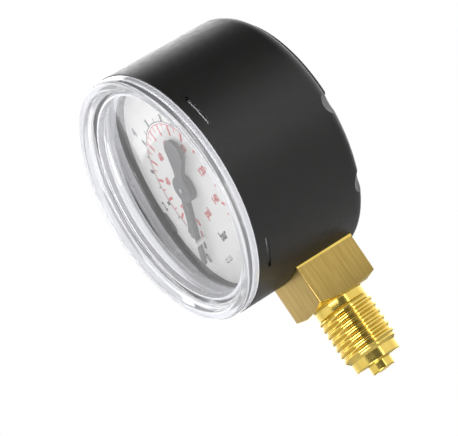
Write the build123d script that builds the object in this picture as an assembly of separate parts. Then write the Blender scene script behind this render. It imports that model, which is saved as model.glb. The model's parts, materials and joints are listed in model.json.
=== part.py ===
from build123d import *

import os
from math import atan2, cos, degrees, hypot, radians, sin, sqrt, tan

# A 53 mm bottom-connection Bourdon-tube pressure gauge, in millimetres.
# +Z runs up the stem, the dial faces -Y and +X is to the right seen from the front.
# The origin is the centre of the flat sealing face, where the pilot leaves the spigot.
# Clock angles are in degrees, clockwise from 12 seen from the front, about the dial axis.

# Case
DIAL_AXIS_Z = 49.0
CASE_R = 26.5
CASE_DRAFT = 0.3
CASE_FRONT_Y = -17.0
CASE_BACK_Y = 10.7
CASE_BACK_EDGE_R = 3.3
CASE_FLOOR = 1.6
CASE_BORE_R = 24.0
SKIRT_POCKET_R = 25.3
SKIRT_POCKET_DEPTH = 4.55
FLUTE_CLOCKS = (97.5, 137, 223, 262.5)
FLUTE_R = 5.0
FLUTE_DEPTH = 0.6
BACK_RIM_R = 24.1
BACK_RIM_WIDTH = 2.0
BACK_RIM_PROUD = 0.2
BACK_RIM_BELOW_AXIS = 1.3
DIAL_REST_R = 22.8
DIAL_REST_COUNT = 6
DIAL_REST_SPAN = 4
DIAL_SNAP_R = 23.7
DIAL_SNAP_GAP = 0.05
DIAL_SNAP_HEIGHT = 0.4
LUG_CLOCKS = (25, 145, 265)
LUG_R = 21.8
LUG_WIDTH = 5.2
LUG_CORNER_R = 1.5
LUG_ROOT = 1.5

# Window and its snap hooks
BEAD_R = 26.35
BEAD_FRONT_Y = -20.0
BEAD_ROUND = 0.65
WINDOW_GAP = 0.05
DISC_R = 22.9
DISC_FRONT_Y = -18.4
DISC_THICKNESS = 1.2
SKIRT_R = 25.15
SKIRT_INNER_R = 23.4
SKIRT_STEP = 0.35
SKIRT_STEP_Y = -14.65
HOOK_COUNT = 5
HOOK_FIRST_CLOCK = 71
HOOK_SPAN = 14.0
HOOK_R = 25.85
HOOK_BACK_Y = -14.25
HOOK_HEIGHT = 0.55
SLOT_BACK_Y = -14.2
SLOT_SPAN = 16.0
SLOT_HEIGHT = 0.7

# Dial and stop pin
DIAL_FRONT_Y = -10.45
DIAL_THICKNESS = 1.0
DIAL_R = 23.85
DIAL_HOLE_R = 2.2
LUG_CLEARANCE = 0.1
STOP_PIN_R = 0.55
STOP_PIN_REACH = 13.0
STOP_PIN_TOP_Y = -14.35
STOP_PIN_GAP = 0.08

# Pointer, resting at zero
ZERO_CLOCK = 225.0
NEEDLE_R = 20.3
NEEDLE_HALF_WIDTH = 1.1
NEEDLE_TIP_HALF_WIDTH = 0.9
NEEDLE_POINT_LENGTH = 0.8
NEEDLE_POINT_HALF_WIDTH = 0.35
NEEDLE_STEP_REACH = 12.6
NEEDLE_FRONT_Y = -12.6
TAIL_REACH = 9.3
TAIL_LOBE_R = 2.9
TAIL_NECK_HALF_WIDTH = 1.4
TAIL_FLARE_REACH = 4.3
BLADE_FRONT_Y = -13.45
BLADE_BACK_Y = -11.95
HUB_R = 3.0
HUB_BACK_Y = -10.85
BUSH_R = 1.1
BUSH_FRONT_Y = -12.9

# Stem
PILOT_R = 2.5
PILOT_LENGTH = 2.0
PILOT_CHAMFER = 0.3
SPIGOT_R = 5.05
SPIGOT_CHAMFER = 0.2
THREAD_R = 5.95
THREAD_PITCH = 1.5
THREAD_TURNS = 6
THREAD_ROOT_R = 5.1
THREAD_START_Z = 3.0
RELIEF_R = 5.45
BLOCK_BOTTOM_Z = 14.5
BLOCK_WIDTH = 14.0
BLOCK_TOP_Z = 26.3
BLOCK_NECK_Z = 23.2
BLOCK_NECK_WIDTH = 13.9
BLOCK_TURNED_R = 7.3
BLOCK_TURNED_ANGLE = 17
SEAT_WIDTH = 12.0
SEAT_FRONT_Y = -2.0
SEAT_TOP_Z = 33.0
SCREW_LUG_WIDTH = 9.0
SCREW_LUG_TOP_Z = 36.6
OPENING_CLEARANCE = 0.15
OPENING_HEIGHT = 8.0
PRESSURE_BORE_R = 1.25
TUBE_SOCKET_CLOCKS = (177, 205)

# Movement, with places counted from the dial axis: (to the right, up)
BACK_PLATE_Y = (-2.0, -3.0)
FRONT_PLATE_Y = (-7.2, -8.2)
PLATE_WIDTH = 16.4
PLATE_TOP = 5.6
PLATE_BOTTOM = -16.2
PLATE_CORNER_R = 1.5
PLATE_WINDOW = (9.0, 4.0)
PLATE_WINDOW_HEIGHT = -5.4
PLATE_WINDOW_CORNER_R = 1.0
PLATE_FOOT_WIDTH = 9.6
PLATE_FOOT_BOTTOM = -21.8
PILLARS = ((6.3, 3.5), (-6.3, 3.5), (-6.0, -14.0))
PILLAR_R = 1.5
PIVOT_R = 0.4
RUNNING_CLEARANCE = 0.03
SECTOR_AXIS = (1.5, -10.9)
TAIL_PIN_AT_ZERO = (4.373, -17.284)
LINK_LENGTH = 9.0
LINK_HALF_WIDTH = 0.75
LINK_EYE_R = 1.15
PIN_HEAD_R = 0.8
PIN_HEAD_HEIGHT = 0.3
PIN_HEAD_GAP = 0.2
LINK_CLOCK = 53.5
LINK_Y = (-4.1, -4.6)
SECTOR_Y = (-4.8, -5.6)
PINION_Y = (-4.4, -5.9)
SPRING_Y = (-6.25, -6.75)
COLLET_Y = (-6.1, -6.9)
PILLAR_CLEARANCE = 0.15
END_PLAY = 0.1
GEAR_MODULE = 0.2
PINION_TEETH = 10
PINION_TOOTH_HALF_WIDTHS = (0.15, 0.12, 0.06)
SECTOR_TEETH = 100
SECTOR_TOOTH_HALF_WIDTHS = (0.2, 0.13, 0.07)
SECTOR_HUB_R = 2.2
SECTOR_RIM = 1.3
SECTOR_ARM_HALF_WIDTH = 1.1
ADDENDUM = 0.16
DEDENDUM = 0.25
TOOTH_SUNK = 0.05
SECTOR_CLOCKS = (-16.0, 29.0)
SECTOR_EDGE = 1.5
ARBOR_R = 0.7
SHAFT_R = 0.6
SHAFT_TIP_R = 0.5
SHAFT_TIP_PROUD = 0.35
SHAFT_SHOULDER_R = 0.65
SHAFT_SHOULDER_Y = DIAL_FRONT_Y + 0.4
COLLET_R = 1.2
SPRING_THICKNESS = 0.12
SPRING_FIRST_R = 1.35
SPRING_LAST_R = 3.9
SPRING_TURNS = 6
STUD_CLOCK = 300
STUD_R = 0.7
STUD_LENGTH_PAST_SPRING = 0.15
SPRING_POINTS_PER_TURN = 16

# Bourdon tube
TUBE_R = 18.9
TUBE_Y = 3.0
TUBE_WIDTH = 6.4
TUBE_THICKNESS = 2.2
TUBE_WALL = 0.3
TUBE_CLOCKS = (186.0, 487.5)
TUBE_CAP_SPAN = 7.0
EAR_OVERLAP = 0.6
EAR_THICKNESS = 1.8
EAR_HALF_WIDTH = 1.1
TIP_PIN_AT_ZERO = (11.61, -11.93)
LINK_EYE_CLEARANCE = 0.17

# Screws
STEM_SCREWS = ((-2.5, -15.4), (2.5, -15.4))
STEM_SCREW_R = 1.25
STEM_SCREW_HEAD_R = 2.2
STEM_SCREW_SINK_R = 2.4
STEM_SCREW_SINK_DEPTH = 1.2
STEM_SCREW_REACH = 4.5
STEM_SCREW_SLOT = 0.6
STEM_SCREW_CLEARANCE = 0.1
PLATE_SCREWS = ((-3.2, -18.3), (3.0, -20.0))
PLATE_SCREW_R = 0.8
PLATE_SCREW_HEAD_R = 1.4
PLATE_SCREW_HEAD_HEIGHT = 0.8
PLATE_SCREW_REACH = 1.5
PLATE_SCREW_SLOT = 0.4
PILLAR_SCREW_GAP = 0.3
DRILL_PAST_SCREW = 0.2


def on_clock(reach, clock):
    """The place at this distance and clock angle from the dial axis."""
    return (reach * sin(radians(clock)), reach * cos(radians(clock)))


def layer(sketch, back, front):
    """A flat piece whose outline is drawn seen from the front, about the dial axis."""
    plane = Plane(origin=(0, back, DIAL_AXIS_Z), x_dir=(1, 0, 0), z_dir=(0, -1, 0))
    return extrude(plane * sketch, back - front)


def turned_on_dial_axis(outline):
    """A solid turned about the dial axis from (radius, y) points."""
    face = make_face(Polyline(*outline, close=True))
    return Pos(0, 0, DIAL_AXIS_Z) * revolve(face, Axis.Y)


def turned_on_stem_axis(outline):
    """A solid turned about the stem's axis from (radius, z) points."""
    face = Plane.XZ * make_face(Polyline(*outline, close=True))
    return revolve(face, Axis.Z)


def at(place, sketch):
    """A sketch moved to a place counted from the dial axis."""
    return Pos(place[0], place[1]) * sketch


def bar(start, end, half_width):
    """A straight bar with round ends between two places."""
    middle = ((start[0] + end[0]) / 2, (start[1] + end[1]) / 2)
    run = hypot(end[0] - start[0], end[1] - start[1])
    turn = degrees(atan2(end[1] - start[1], end[0] - start[0]))
    return Pos(*middle) * Rot(0, 0, turn) * SlotCenterToCenter(run, 2 * half_width)


def ring_sector(inner, outer, clock, span):
    """A piece of a flat ring, centred on a clock angle."""
    reach = 2 * outer
    left = on_clock(reach, clock - span / 2)
    right = on_clock(reach, clock + span / 2)
    wedge = make_face(Polyline((0, 0), left, right, close=True))
    return (Circle(outer) - Circle(inner)) & wedge


def clocks(count, first):
    return [first + 360 * i / count for i in range(count)]


def case():
    bottom_r = CASE_R - CASE_DRAFT
    cup = turned_on_dial_axis(
        [(0, CASE_FRONT_Y), (CASE_R, CASE_FRONT_Y), (bottom_r, CASE_BACK_Y), (0, CASE_BACK_Y)]
    )
    cup = fillet(cup.edges().sort_by(Axis.Y)[-1], CASE_BACK_EDGE_R)
    rim = Circle(BACK_RIM_R) - Circle(BACK_RIM_R - BACK_RIM_WIDTH)
    upper_half = Pos(0, BACK_RIM_R - BACK_RIM_BELOW_AXIS) * Rectangle(2 * BACK_RIM_R, 2 * BACK_RIM_R)
    cup += layer(rim & upper_half, CASE_BACK_Y + BACK_RIM_PROUD, CASE_BACK_Y - CASE_BACK_EDGE_R)
    for clock in FLUTE_CLOCKS:
        cup -= flute(clock)

    ledge_y = CASE_FRONT_Y + SKIRT_POCKET_DEPTH
    floor_y = CASE_BACK_Y - CASE_FLOOR
    cup -= layer(Circle(SKIRT_POCKET_R), ledge_y, CASE_FRONT_Y)
    cup -= layer(Circle(CASE_BORE_R), floor_y, ledge_y)
    slot_ring = CASE_R + 1
    for clock in clocks(HOOK_COUNT, HOOK_FIRST_CLOCK):
        slot = ring_sector(SKIRT_POCKET_R - 0.5, slot_ring, clock, SLOT_SPAN)
        cup -= layer(slot, SLOT_BACK_Y, SLOT_BACK_Y - SLOT_HEIGHT)
    dial_back_y = DIAL_FRONT_Y + DIAL_THICKNESS
    for clock in clocks(DIAL_REST_COUNT, 0):
        rest = ring_sector(DIAL_REST_R, CASE_BORE_R, clock, DIAL_REST_SPAN)
        cup += layer(rest, floor_y, dial_back_y)
        snap = ring_sector(DIAL_SNAP_R, CASE_BORE_R, clock, DIAL_REST_SPAN)
        snap_back_y = DIAL_FRONT_Y - DIAL_SNAP_GAP
        cup += layer(snap, snap_back_y, snap_back_y - DIAL_SNAP_HEIGHT)
    for clock in LUG_CLOCKS:
        cup += layer(lug_outline(clock, 0), dial_back_y, ledge_y)

    inner_face_y = BLOCK_WIDTH / 2
    pad_top = STEM_SCREWS[0][1] + STEM_SCREW_SINK_R
    pad_bottom = -CASE_BORE_R - DRILL_PAST_SCREW
    pad = Pos(0, (pad_top + pad_bottom) / 2) * Rectangle(SEAT_WIDTH, pad_top - pad_bottom)
    cup += layer(pad, floor_y, inner_face_y)
    opening = BLOCK_WIDTH + 2 * OPENING_CLEARANCE
    cup -= Pos(0, 0, DIAL_AXIS_Z - CASE_R) * Box(opening, opening, OPENING_HEIGHT)
    for place in STEM_SCREWS:
        hole = Circle(STEM_SCREW_R + STEM_SCREW_CLEARANCE)
        cup -= layer(at(place, hole), CASE_BACK_Y, inner_face_y)
        sink = Circle(STEM_SCREW_SINK_R)
        cup -= layer(at(place, sink), CASE_BACK_Y, CASE_BACK_Y - STEM_SCREW_SINK_DEPTH)
    return cup


def flute(clock):
    """A round cutter that lies across the back shoulder, square to its slope."""
    bottom_r = CASE_R - CASE_DRAFT
    slope = CASE_BACK_EDGE_R * (1 - 1 / sqrt(2))
    offset = (FLUTE_R - FLUTE_DEPTH) / sqrt(2)
    centre = (bottom_r - slope + offset, CASE_BACK_Y - slope + offset)
    cutter = Rot(0, 0, 45) * Rot(90, 0, 0) * Cylinder(FLUTE_R, 40)
    return Pos(0, 0, DIAL_AXIS_Z) * Rot(0, clock - 90, 0) * Pos(centre[0], centre[1], 0) * cutter


def lug_outline(clock, gap):
    """A key of the case, or with a gap the notch around it."""
    root_r = CASE_BORE_R + LUG_ROOT
    centre = on_clock((LUG_R + root_r) / 2, clock)
    outline = RectangleRounded(LUG_WIDTH + 2 * gap, root_r - LUG_R + 2 * gap, LUG_CORNER_R + gap)
    placed = Pos(*centre) * Rot(0, 0, -clock) * outline
    return placed & Circle(root_r - LUG_ROOT / 2)


def window():
    back_y = CASE_FRONT_Y - WINDOW_GAP
    skirt_end_y = CASE_FRONT_Y + SKIRT_POCKET_DEPTH - WINDOW_GAP
    disc_back_y = DISC_FRONT_Y + DISC_THICKNESS
    profile = [
        (0, DISC_FRONT_Y),
        (DISC_R, DISC_FRONT_Y),
        (DISC_R + 0.35, DISC_FRONT_Y - 0.35),
        (DISC_R + 1.0, DISC_FRONT_Y - 0.45),
        (DISC_R + 1.35, BEAD_FRONT_Y + 0.55),
        (DISC_R + 1.95, BEAD_FRONT_Y),
        (BEAD_R - BEAD_ROUND, BEAD_FRONT_Y),
        (BEAD_R - 0.3 * BEAD_ROUND, BEAD_FRONT_Y + 0.3 * BEAD_ROUND),
        (BEAD_R, BEAD_FRONT_Y + BEAD_ROUND),
        (BEAD_R, back_y),
        (SKIRT_R, back_y),
        (SKIRT_R, skirt_end_y),
        (SKIRT_INNER_R, skirt_end_y),
        (SKIRT_INNER_R, SKIRT_STEP_Y),
        (SKIRT_INNER_R - SKIRT_STEP, SKIRT_STEP_Y - SKIRT_STEP),
        (SKIRT_INNER_R - SKIRT_STEP, disc_back_y + 0.7),
        (SKIRT_INNER_R - SKIRT_STEP - 0.7, disc_back_y),
        (0, disc_back_y),
    ]
    shell = turned_on_dial_axis(profile)
    for clock in clocks(HOOK_COUNT, HOOK_FIRST_CLOCK):
        hook = ring_sector(SKIRT_R - 0.6, HOOK_R, clock, HOOK_SPAN)
        shell += layer(hook, HOOK_BACK_Y, HOOK_BACK_Y - HOOK_HEIGHT)
    return shell


def stop_pin_place():
    """Beside the needle, on its 6 o'clock side, a hair clear of it."""
    along = on_clock(STOP_PIN_REACH, ZERO_CLOCK)
    taper = (NEEDLE_HALF_WIDTH - NEEDLE_TIP_HALF_WIDTH) / NEEDLE_R
    half_width = NEEDLE_HALF_WIDTH - taper * STOP_PIN_REACH
    side = on_clock(half_width + STOP_PIN_R + STOP_PIN_GAP, ZERO_CLOCK - 90)
    return (along[0] + side[0], along[1] + side[1])


def dial():
    """The scale plate and its stop pin, in one moulding."""
    disc = Circle(DIAL_R) - Circle(DIAL_HOLE_R)
    for clock in LUG_CLOCKS:
        disc -= lug_outline(clock, LUG_CLEARANCE)
    plate = layer(disc, DIAL_FRONT_Y + DIAL_THICKNESS, DIAL_FRONT_Y)
    pin = layer(at(stop_pin_place(), Circle(STOP_PIN_R)), DIAL_FRONT_Y, STOP_PIN_TOP_Y)
    return plate + pin


def pointer():
    shoulder = NEEDLE_R - NEEDLE_POINT_LENGTH
    right_side = [
        (NEEDLE_POINT_HALF_WIDTH, NEEDLE_R),
        (NEEDLE_TIP_HALF_WIDTH, shoulder),
        (NEEDLE_HALF_WIDTH, 0),
        (TAIL_NECK_HALF_WIDTH, 0),
        (TAIL_NECK_HALF_WIDTH, -TAIL_FLARE_REACH),
        (TAIL_LOBE_R, -TAIL_REACH),
    ]
    left_side = [(-x, y) for x, y in reversed(right_side)]
    blade = make_face(Polyline(*right_side, *left_side, close=True))
    blade += Pos(0, -TAIL_REACH) * Circle(TAIL_LOBE_R) + Circle(HUB_R)
    turned = Rot(0, 0, -ZERO_CLOCK) * blade
    body = layer(turned, BLADE_BACK_Y, BLADE_FRONT_Y)
    thin_length = 2 * (NEEDLE_R - NEEDLE_STEP_REACH)
    thinned = Pos(0, NEEDLE_R) * Rectangle(4 * NEEDLE_HALF_WIDTH, thin_length)
    body -= layer(Rot(0, 0, -ZERO_CLOCK) * thinned, NEEDLE_FRONT_Y, BLADE_FRONT_Y)
    body += layer(Circle(HUB_R), HUB_BACK_Y, BLADE_BACK_Y)
    body -= layer(Circle(BUSH_R), HUB_BACK_Y, BUSH_FRONT_Y)
    return body - layer(Circle(SHAFT_TIP_R), BUSH_FRONT_Y, BLADE_FRONT_Y)


def pointer_bush():
    ring = Circle(BUSH_R) - Circle(SHAFT_TIP_R)
    return layer(ring, HUB_BACK_Y, BUSH_FRONT_Y)


def tooth(pitch_r, half_widths):
    """A straight-sided tooth pointing up from a gear centred on the origin."""
    heights = (pitch_r - DEDENDUM - TOOTH_SUNK, pitch_r, pitch_r + ADDENDUM)
    right_side = list(zip(half_widths, heights))
    left_side = [(-x, y) for x, y in reversed(right_side)]
    return make_face(Polyline(*right_side, *left_side, close=True))


def mesh_clock():
    """The clock angle from the pinion's axis to the sector's."""
    return degrees(atan2(SECTOR_AXIS[0], SECTOR_AXIS[1]))


def pinion_shaft():
    pitch_r = GEAR_MODULE * PINION_TEETH / 2
    gear = Circle(pitch_r - DEDENDUM)
    for clock in clocks(PINION_TEETH, mesh_clock()):
        gear += Rot(0, 0, -clock) * tooth(pitch_r, PINION_TOOTH_HALF_WIDTHS)
    body = layer(gear, *PINION_Y)
    body += layer(Circle(PIVOT_R), BACK_PLATE_Y[0] - END_PLAY, PINION_Y[0])
    body += layer(Circle(SHAFT_SHOULDER_R), BACK_PLATE_Y[1] - PILLAR_CLEARANCE, PINION_Y[0])
    body += layer(Circle(SHAFT_R), PINION_Y[1], SHAFT_SHOULDER_Y)
    body += layer(Circle(SHAFT_TIP_R), SHAFT_SHOULDER_Y, BLADE_FRONT_Y - SHAFT_TIP_PROUD)
    return body


def hairspring_collet():
    return layer(Circle(COLLET_R) - Circle(SHAFT_R), *COLLET_Y)


def hairspring():
    def edge(offset):
        steps = SPRING_TURNS * SPRING_POINTS_PER_TURN
        points = []
        for i in range(steps + 1):
            part = i / steps
            reach = SPRING_FIRST_R + (SPRING_LAST_R - SPRING_FIRST_R) * part + offset
            points.append(on_clock(reach, STUD_CLOCK - 360 * SPRING_TURNS * (1 - part)))
        return points

    half = SPRING_THICKNESS / 2
    inside, outside = edge(-half), edge(half)
    outline = (
        Spline(*inside)
        + Line(inside[-1], outside[-1])
        + Spline(*outside)
        + Line(inside[0], outside[0])
    )
    return layer(make_face(outline), *SPRING_Y)


def hairspring_stud():
    place = on_clock(SPRING_LAST_R + SPRING_THICKNESS / 2 + STUD_R, STUD_CLOCK)
    return layer(at(place, Circle(STUD_R)), SPRING_Y[0] + STUD_LENGTH_PAST_SPRING, FRONT_PLATE_Y[0])


def sector_gear():
    pitch_r = GEAR_MODULE * SECTOR_TEETH / 2
    root_r = pitch_r - DEDENDUM
    first, last = SECTOR_CLOCKS
    middle = (first + last) / 2
    span = last - first
    quadrant = ring_sector(PIVOT_R, root_r, middle, span)
    quadrant -= ring_sector(SECTOR_HUB_R, root_r - SECTOR_RIM, middle, span / 2)
    quadrant += Circle(SECTOR_HUB_R)
    tooth_pitch = 360 / SECTOR_TEETH
    for i in range(SECTOR_TEETH):
        clock = mesh_clock() - 180 + (i + 0.5 - SECTOR_TEETH / 2) * tooth_pitch
        if first + SECTOR_EDGE < clock < last - SECTOR_EDGE:
            quadrant += Rot(0, 0, -clock) * tooth(pitch_r, SECTOR_TOOTH_HALF_WIDTHS)
    arm_end = (TAIL_PIN_AT_ZERO[0] - SECTOR_AXIS[0], TAIL_PIN_AT_ZERO[1] - SECTOR_AXIS[1])
    quadrant += bar((0, 0), arm_end, SECTOR_ARM_HALF_WIDTH)
    quadrant -= Circle(ARBOR_R)
    quadrant -= at(arm_end, Circle(PIVOT_R))
    return layer(at(SECTOR_AXIS, quadrant), *SECTOR_Y)


def sector_arbor():
    pivot = at(SECTOR_AXIS, Circle(PIVOT_R))
    arbor = at(SECTOR_AXIS, Circle(ARBOR_R))
    shoulders = (BACK_PLATE_Y[1] - PILLAR_CLEARANCE, FRONT_PLATE_Y[0] + PILLAR_CLEARANCE)
    return layer(pivot, BACK_PLATE_Y[0] - END_PLAY, FRONT_PLATE_Y[1] + END_PLAY) + layer(arbor, *shoulders)


def headed_pin(place, head_y, seat_y, end_y):
    """A pin along the dial axis, with a round head between head_y and seat_y."""
    shank = layer(at(place, Circle(PIVOT_R)), *sorted((seat_y, end_y), reverse=True))
    head = layer(at(place, Circle(PIN_HEAD_R)), *sorted((seat_y, head_y), reverse=True))
    return shank + head


def link_pin():
    seat_y = LINK_Y[0] + PIN_HEAD_GAP
    return headed_pin(TAIL_PIN_AT_ZERO, seat_y + PIN_HEAD_HEIGHT, seat_y, SECTOR_Y[1])


def link():
    reach = on_clock(LINK_LENGTH, LINK_CLOCK)
    eye = (TAIL_PIN_AT_ZERO[0] + reach[0], TAIL_PIN_AT_ZERO[1] + reach[1])
    outline = bar(TAIL_PIN_AT_ZERO, eye, LINK_HALF_WIDTH)
    outline += at(TAIL_PIN_AT_ZERO, Circle(LINK_EYE_R)) + at(eye, Circle(LINK_EYE_R))
    outline -= at(TAIL_PIN_AT_ZERO, Circle(PIVOT_R + RUNNING_CLEARANCE))
    outline -= at(eye, Circle(PIVOT_R + LINK_EYE_CLEARANCE))
    return layer(outline, *LINK_Y)


def tube_section(shrink):
    """The flattened tube's section, drawn where the tube crosses 3 o'clock."""
    oval = SlotOverall(TUBE_WIDTH - 2 * shrink, TUBE_THICKNESS - 2 * shrink)
    return Pos(TUBE_R, TUBE_Y) * Rot(0, 0, 90) * oval


def around_dial_axis(section, first_clock, last_clock):
    swept = revolve(section, Axis.Y, last_clock - first_clock)
    return Pos(0, 0, DIAL_AXIS_Z) * Rot(0, first_clock - 90, 0) * swept


def bourdon_tube():
    hollow = tube_section(0) - tube_section(TUBE_WALL)
    return around_dial_axis(hollow, *TUBE_CLOCKS)


def ear_back_y():
    """The back of the end piece's ear, a little inside the tube's front edge."""
    return TUBE_Y - TUBE_WIDTH / 2 + EAR_OVERLAP


def tube_end_piece():
    start = TUBE_CLOCKS[1]
    cap = around_dial_axis(tube_section(0), start, start + TUBE_CAP_SPAN)
    ear_root = on_clock(TUBE_R, start + TUBE_CAP_SPAN / 2)
    ear = bar(ear_root, TIP_PIN_AT_ZERO, EAR_HALF_WIDTH)
    ear -= at(TIP_PIN_AT_ZERO, Circle(PIVOT_R))
    return cap + layer(ear, ear_back_y(), ear_back_y() - EAR_THICKNESS)


def tip_pin():
    seat_y = LINK_Y[1] - PIN_HEAD_HEIGHT
    return headed_pin(TIP_PIN_AT_ZERO, seat_y - PIN_HEAD_HEIGHT, seat_y, ear_back_y())


def plate_outline():
    height = PLATE_TOP - PLATE_BOTTOM
    plate = RectangleRounded(PLATE_WIDTH, height, PLATE_CORNER_R)
    outline = Pos(0, (PLATE_TOP + PLATE_BOTTOM) / 2) * plate
    for place in PILLARS:
        outline -= at(place, Circle(PLATE_SCREW_R))
    window_cut = RectangleRounded(*PLATE_WINDOW, PLATE_WINDOW_CORNER_R)
    outline -= Pos(0, PLATE_WINDOW_HEIGHT) * window_cut
    return outline - at(SECTOR_AXIS, Circle(PIVOT_R + RUNNING_CLEARANCE))


def movement_back_plate():
    outline = plate_outline() - Circle(PIVOT_R + RUNNING_CLEARANCE)
    foot_height = PLATE_BOTTOM - PLATE_FOOT_BOTTOM + PLATE_CORNER_R
    foot_centre = PLATE_FOOT_BOTTOM + foot_height / 2
    outline += Pos(0, foot_centre) * Rectangle(PLATE_FOOT_WIDTH, foot_height)
    for place in PLATE_SCREWS:
        outline -= at(place, Circle(PLATE_SCREW_R))
    return layer(outline, *BACK_PLATE_Y)


def movement_front_plate():
    outline = plate_outline() - Circle(SHAFT_R + RUNNING_CLEARANCE)
    return layer(outline, *FRONT_PLATE_Y)


def movement_pillars():
    pillars = []
    for place in PILLARS:
        section = Circle(PILLAR_R) - Circle(PLATE_SCREW_R)
        pillars.append(layer(at(place, section), BACK_PLATE_Y[1], FRONT_PLATE_Y[0]))
    return Compound(children=pillars)


def slotted_screw(place, head_r, shank_r, head_y, seat_y, end_y, slot):
    """A cheese-head screw along the dial axis, from its head's top to its end."""
    screw = layer(at(place, Circle(shank_r)), *sorted((seat_y, end_y), reverse=True))
    screw += layer(at(place, Circle(head_r)), *sorted((seat_y, head_y), reverse=True))
    slot_floor_y = (seat_y + head_y) / 2
    turn = 20 * place[0]
    cut = Rot(0, 0, turn) * Rectangle(3 * head_r, slot)
    return screw - layer(at(place, cut), *sorted((head_y, slot_floor_y), reverse=True))


def plate_screw(place, seat_y, outward, reach):
    """A movement screw; outward is +1 with its head towards the back, else -1."""
    head_y = seat_y + outward * PLATE_SCREW_HEAD_HEIGHT
    end_y = seat_y - outward * reach
    return slotted_screw(
        place, PLATE_SCREW_HEAD_R, PLATE_SCREW_R, head_y, seat_y, end_y, PLATE_SCREW_SLOT
    )


def movement_screws():
    front, back = FRONT_PLATE_Y[1], BACK_PLATE_Y[0]
    reach = (back - front) / 2 - PILLAR_SCREW_GAP
    screws = [plate_screw(place, front, -1, reach) for place in PILLARS]
    screws += [plate_screw(place, back, 1, reach) for place in PILLARS]
    return Compound(children=screws)


def movement_mount_screws():
    reach = BACK_PLATE_Y[0] - BACK_PLATE_Y[1] + PLATE_SCREW_REACH
    return Compound(children=[plate_screw(place, BACK_PLATE_Y[1], -1, reach) for place in PLATE_SCREWS])


def stem_screws():
    seat_y = CASE_BACK_Y - STEM_SCREW_SINK_DEPTH
    head_y = CASE_BACK_Y - STEM_SCREW_CLEARANCE
    end_y = BLOCK_WIDTH / 2 - STEM_SCREW_REACH
    screws = [
        slotted_screw(place, STEM_SCREW_HEAD_R, STEM_SCREW_R, head_y, seat_y, end_y, STEM_SCREW_SLOT)
        for place in STEM_SCREWS
    ]
    return Compound(children=screws)


def thread_outline():
    """Ring grooves that stand for the thread, as (radius, z) points."""
    points = []
    flat = THREAD_PITCH / 8
    for turn in range(THREAD_TURNS):
        low = THREAD_START_Z + turn * THREAD_PITCH
        groove = low + THREAD_PITCH / 2
        points += [(THREAD_R, low + flat), (THREAD_ROOT_R, groove)]
        points += [(THREAD_ROOT_R, groove + flat), (THREAD_R, low + THREAD_PITCH)]
    end = THREAD_START_Z + THREAD_TURNS * THREAD_PITCH + flat
    points += [(THREAD_R, end), (RELIEF_R, end + THREAD_R - RELIEF_R)]
    return points


def stem():
    chamfer_z = THREAD_START_Z - (THREAD_R - SPIGOT_R)
    lower = [
        (0, -PILOT_LENGTH),
        (PILOT_R - PILOT_CHAMFER, -PILOT_LENGTH),
        (PILOT_R, PILOT_CHAMFER - PILOT_LENGTH),
        (PILOT_R, 0),
        (SPIGOT_R - SPIGOT_CHAMFER, 0),
        (SPIGOT_R, SPIGOT_CHAMFER),
        (SPIGOT_R, chamfer_z),
        (THREAD_R, THREAD_START_Z),
        *thread_outline(),
        (RELIEF_R, (BLOCK_BOTTOM_Z + BLOCK_TOP_Z) / 2),
        (0, (BLOCK_BOTTOM_Z + BLOCK_TOP_Z) / 2),
    ]
    body = turned_on_stem_axis(lower)
    body += wrench_block()
    seat_depth = BLOCK_WIDTH / 2 - SEAT_FRONT_Y
    seat_height = SEAT_TOP_Z - BLOCK_TOP_Z
    seat_centre = (0, BLOCK_WIDTH / 2 - seat_depth / 2, BLOCK_TOP_Z + seat_height / 2)
    body += Pos(*seat_centre) * Box(SEAT_WIDTH, seat_depth, seat_height)
    lug_height = SCREW_LUG_TOP_Z - SEAT_TOP_Z
    lug_centre = (0, seat_centre[1], SEAT_TOP_Z + lug_height / 2)
    body += Pos(*lug_centre) * Box(SCREW_LUG_WIDTH, seat_depth, lug_height)
    body -= around_dial_axis(tube_section(0), *TUBE_SOCKET_CLOCKS)
    bore_top = DIAL_AXIS_Z - TUBE_R
    bore_length = bore_top + PILOT_LENGTH
    body -= Pos(0, 0, bore_top - bore_length / 2) * Cylinder(PRESSURE_BORE_R, bore_length)
    for place in STEM_SCREWS:
        depth = STEM_SCREW_REACH + DRILL_PAST_SCREW
        body -= layer(at(place, Circle(STEM_SCREW_R)), BLOCK_WIDTH / 2, BLOCK_WIDTH / 2 - depth)
    for place in PLATE_SCREWS:
        depth = PLATE_SCREW_REACH + DRILL_PAST_SCREW
        body -= layer(at(place, Circle(PLATE_SCREW_R)), SEAT_FRONT_Y + depth, SEAT_FRONT_Y)
    return body


def wrench_block():
    """The square block, its bottom corners turned to a shallow cone."""
    height = BLOCK_TOP_Z - BLOCK_BOTTOM_Z
    block = Pos(0, 0, BLOCK_BOTTOM_Z + height / 2) * Box(BLOCK_WIDTH, BLOCK_WIDTH, height)
    neck_height = BLOCK_TOP_Z - BLOCK_NECK_Z
    neck_cut = Box(BLOCK_WIDTH, BLOCK_WIDTH, neck_height) - Box(BLOCK_NECK_WIDTH, BLOCK_WIDTH, neck_height)
    block -= Pos(0, 0, BLOCK_NECK_Z + neck_height / 2) * neck_cut
    corner_r = BLOCK_WIDTH
    rise = (corner_r - BLOCK_TURNED_R) * tan(radians(BLOCK_TURNED_ANGLE))
    cone = turned_on_stem_axis(
        [
            (0, BLOCK_BOTTOM_Z),
            (BLOCK_TURNED_R, BLOCK_BOTTOM_Z),
            (corner_r, BLOCK_BOTTOM_Z + rise),
            (corner_r, BLOCK_TOP_Z),
            (0, BLOCK_TOP_Z),
        ]
    )
    return block & cone


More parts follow.
